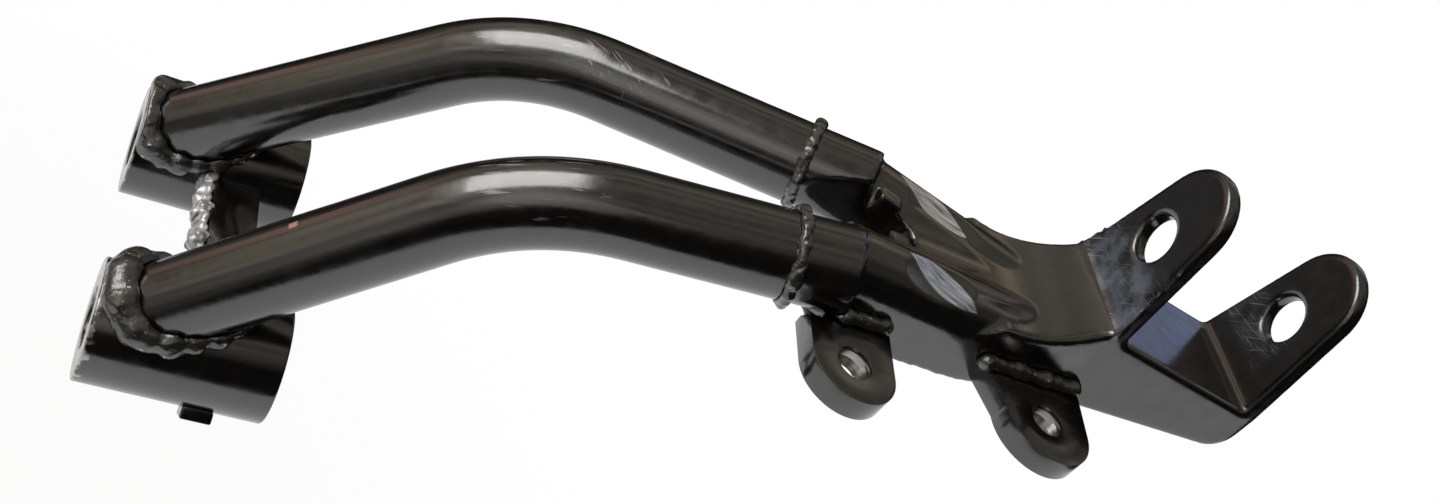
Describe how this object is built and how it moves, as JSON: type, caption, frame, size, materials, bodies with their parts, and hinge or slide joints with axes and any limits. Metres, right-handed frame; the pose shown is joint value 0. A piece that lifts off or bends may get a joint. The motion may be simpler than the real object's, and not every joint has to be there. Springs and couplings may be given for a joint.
{
  "type": "motorbike footrest bracket",
  "caption": "Welded motorbike footrest bracket: two bent tubes with mounting bushes, and a forged clevis with tapped side tabs for the footrest.",
  "frame": {"origin": "centre of the near bush bore", "axes": "+X along the bush bores towards the clevis end, +Y from the near bush to the far bush, +Z to the side that the clevis ears point to"},
  "size_m": [0.2555, 0.1366, 0.1415],
  "materials": {
    "black_enamel": "gloss black enamel over steel",
    "painted_weld": "gloss black enamel over rippled weld beads"
  },
  "bodies": {
    "root": {"near_bush": "black_enamel", "far_bush": "black_enamel", "near_tube": "black_enamel", "far_tube": "black_enamel", "clevis": "black_enamel", "front_tab": "black_enamel", "rear_tab": "black_enamel", "cross_plate": "black_enamel", "stop_lug": "black_enamel", "near_foot_weld": "painted_weld", "far_foot_weld": "painted_weld", "near_leg_weld": "painted_weld", "far_leg_weld": "painted_weld", "front_tab_weld": "painted_weld", "rear_tab_weld": "painted_weld", "near_plate_weld": "painted_weld", "far_plate_weld": "painted_weld"}
  },
  "joints": []
}
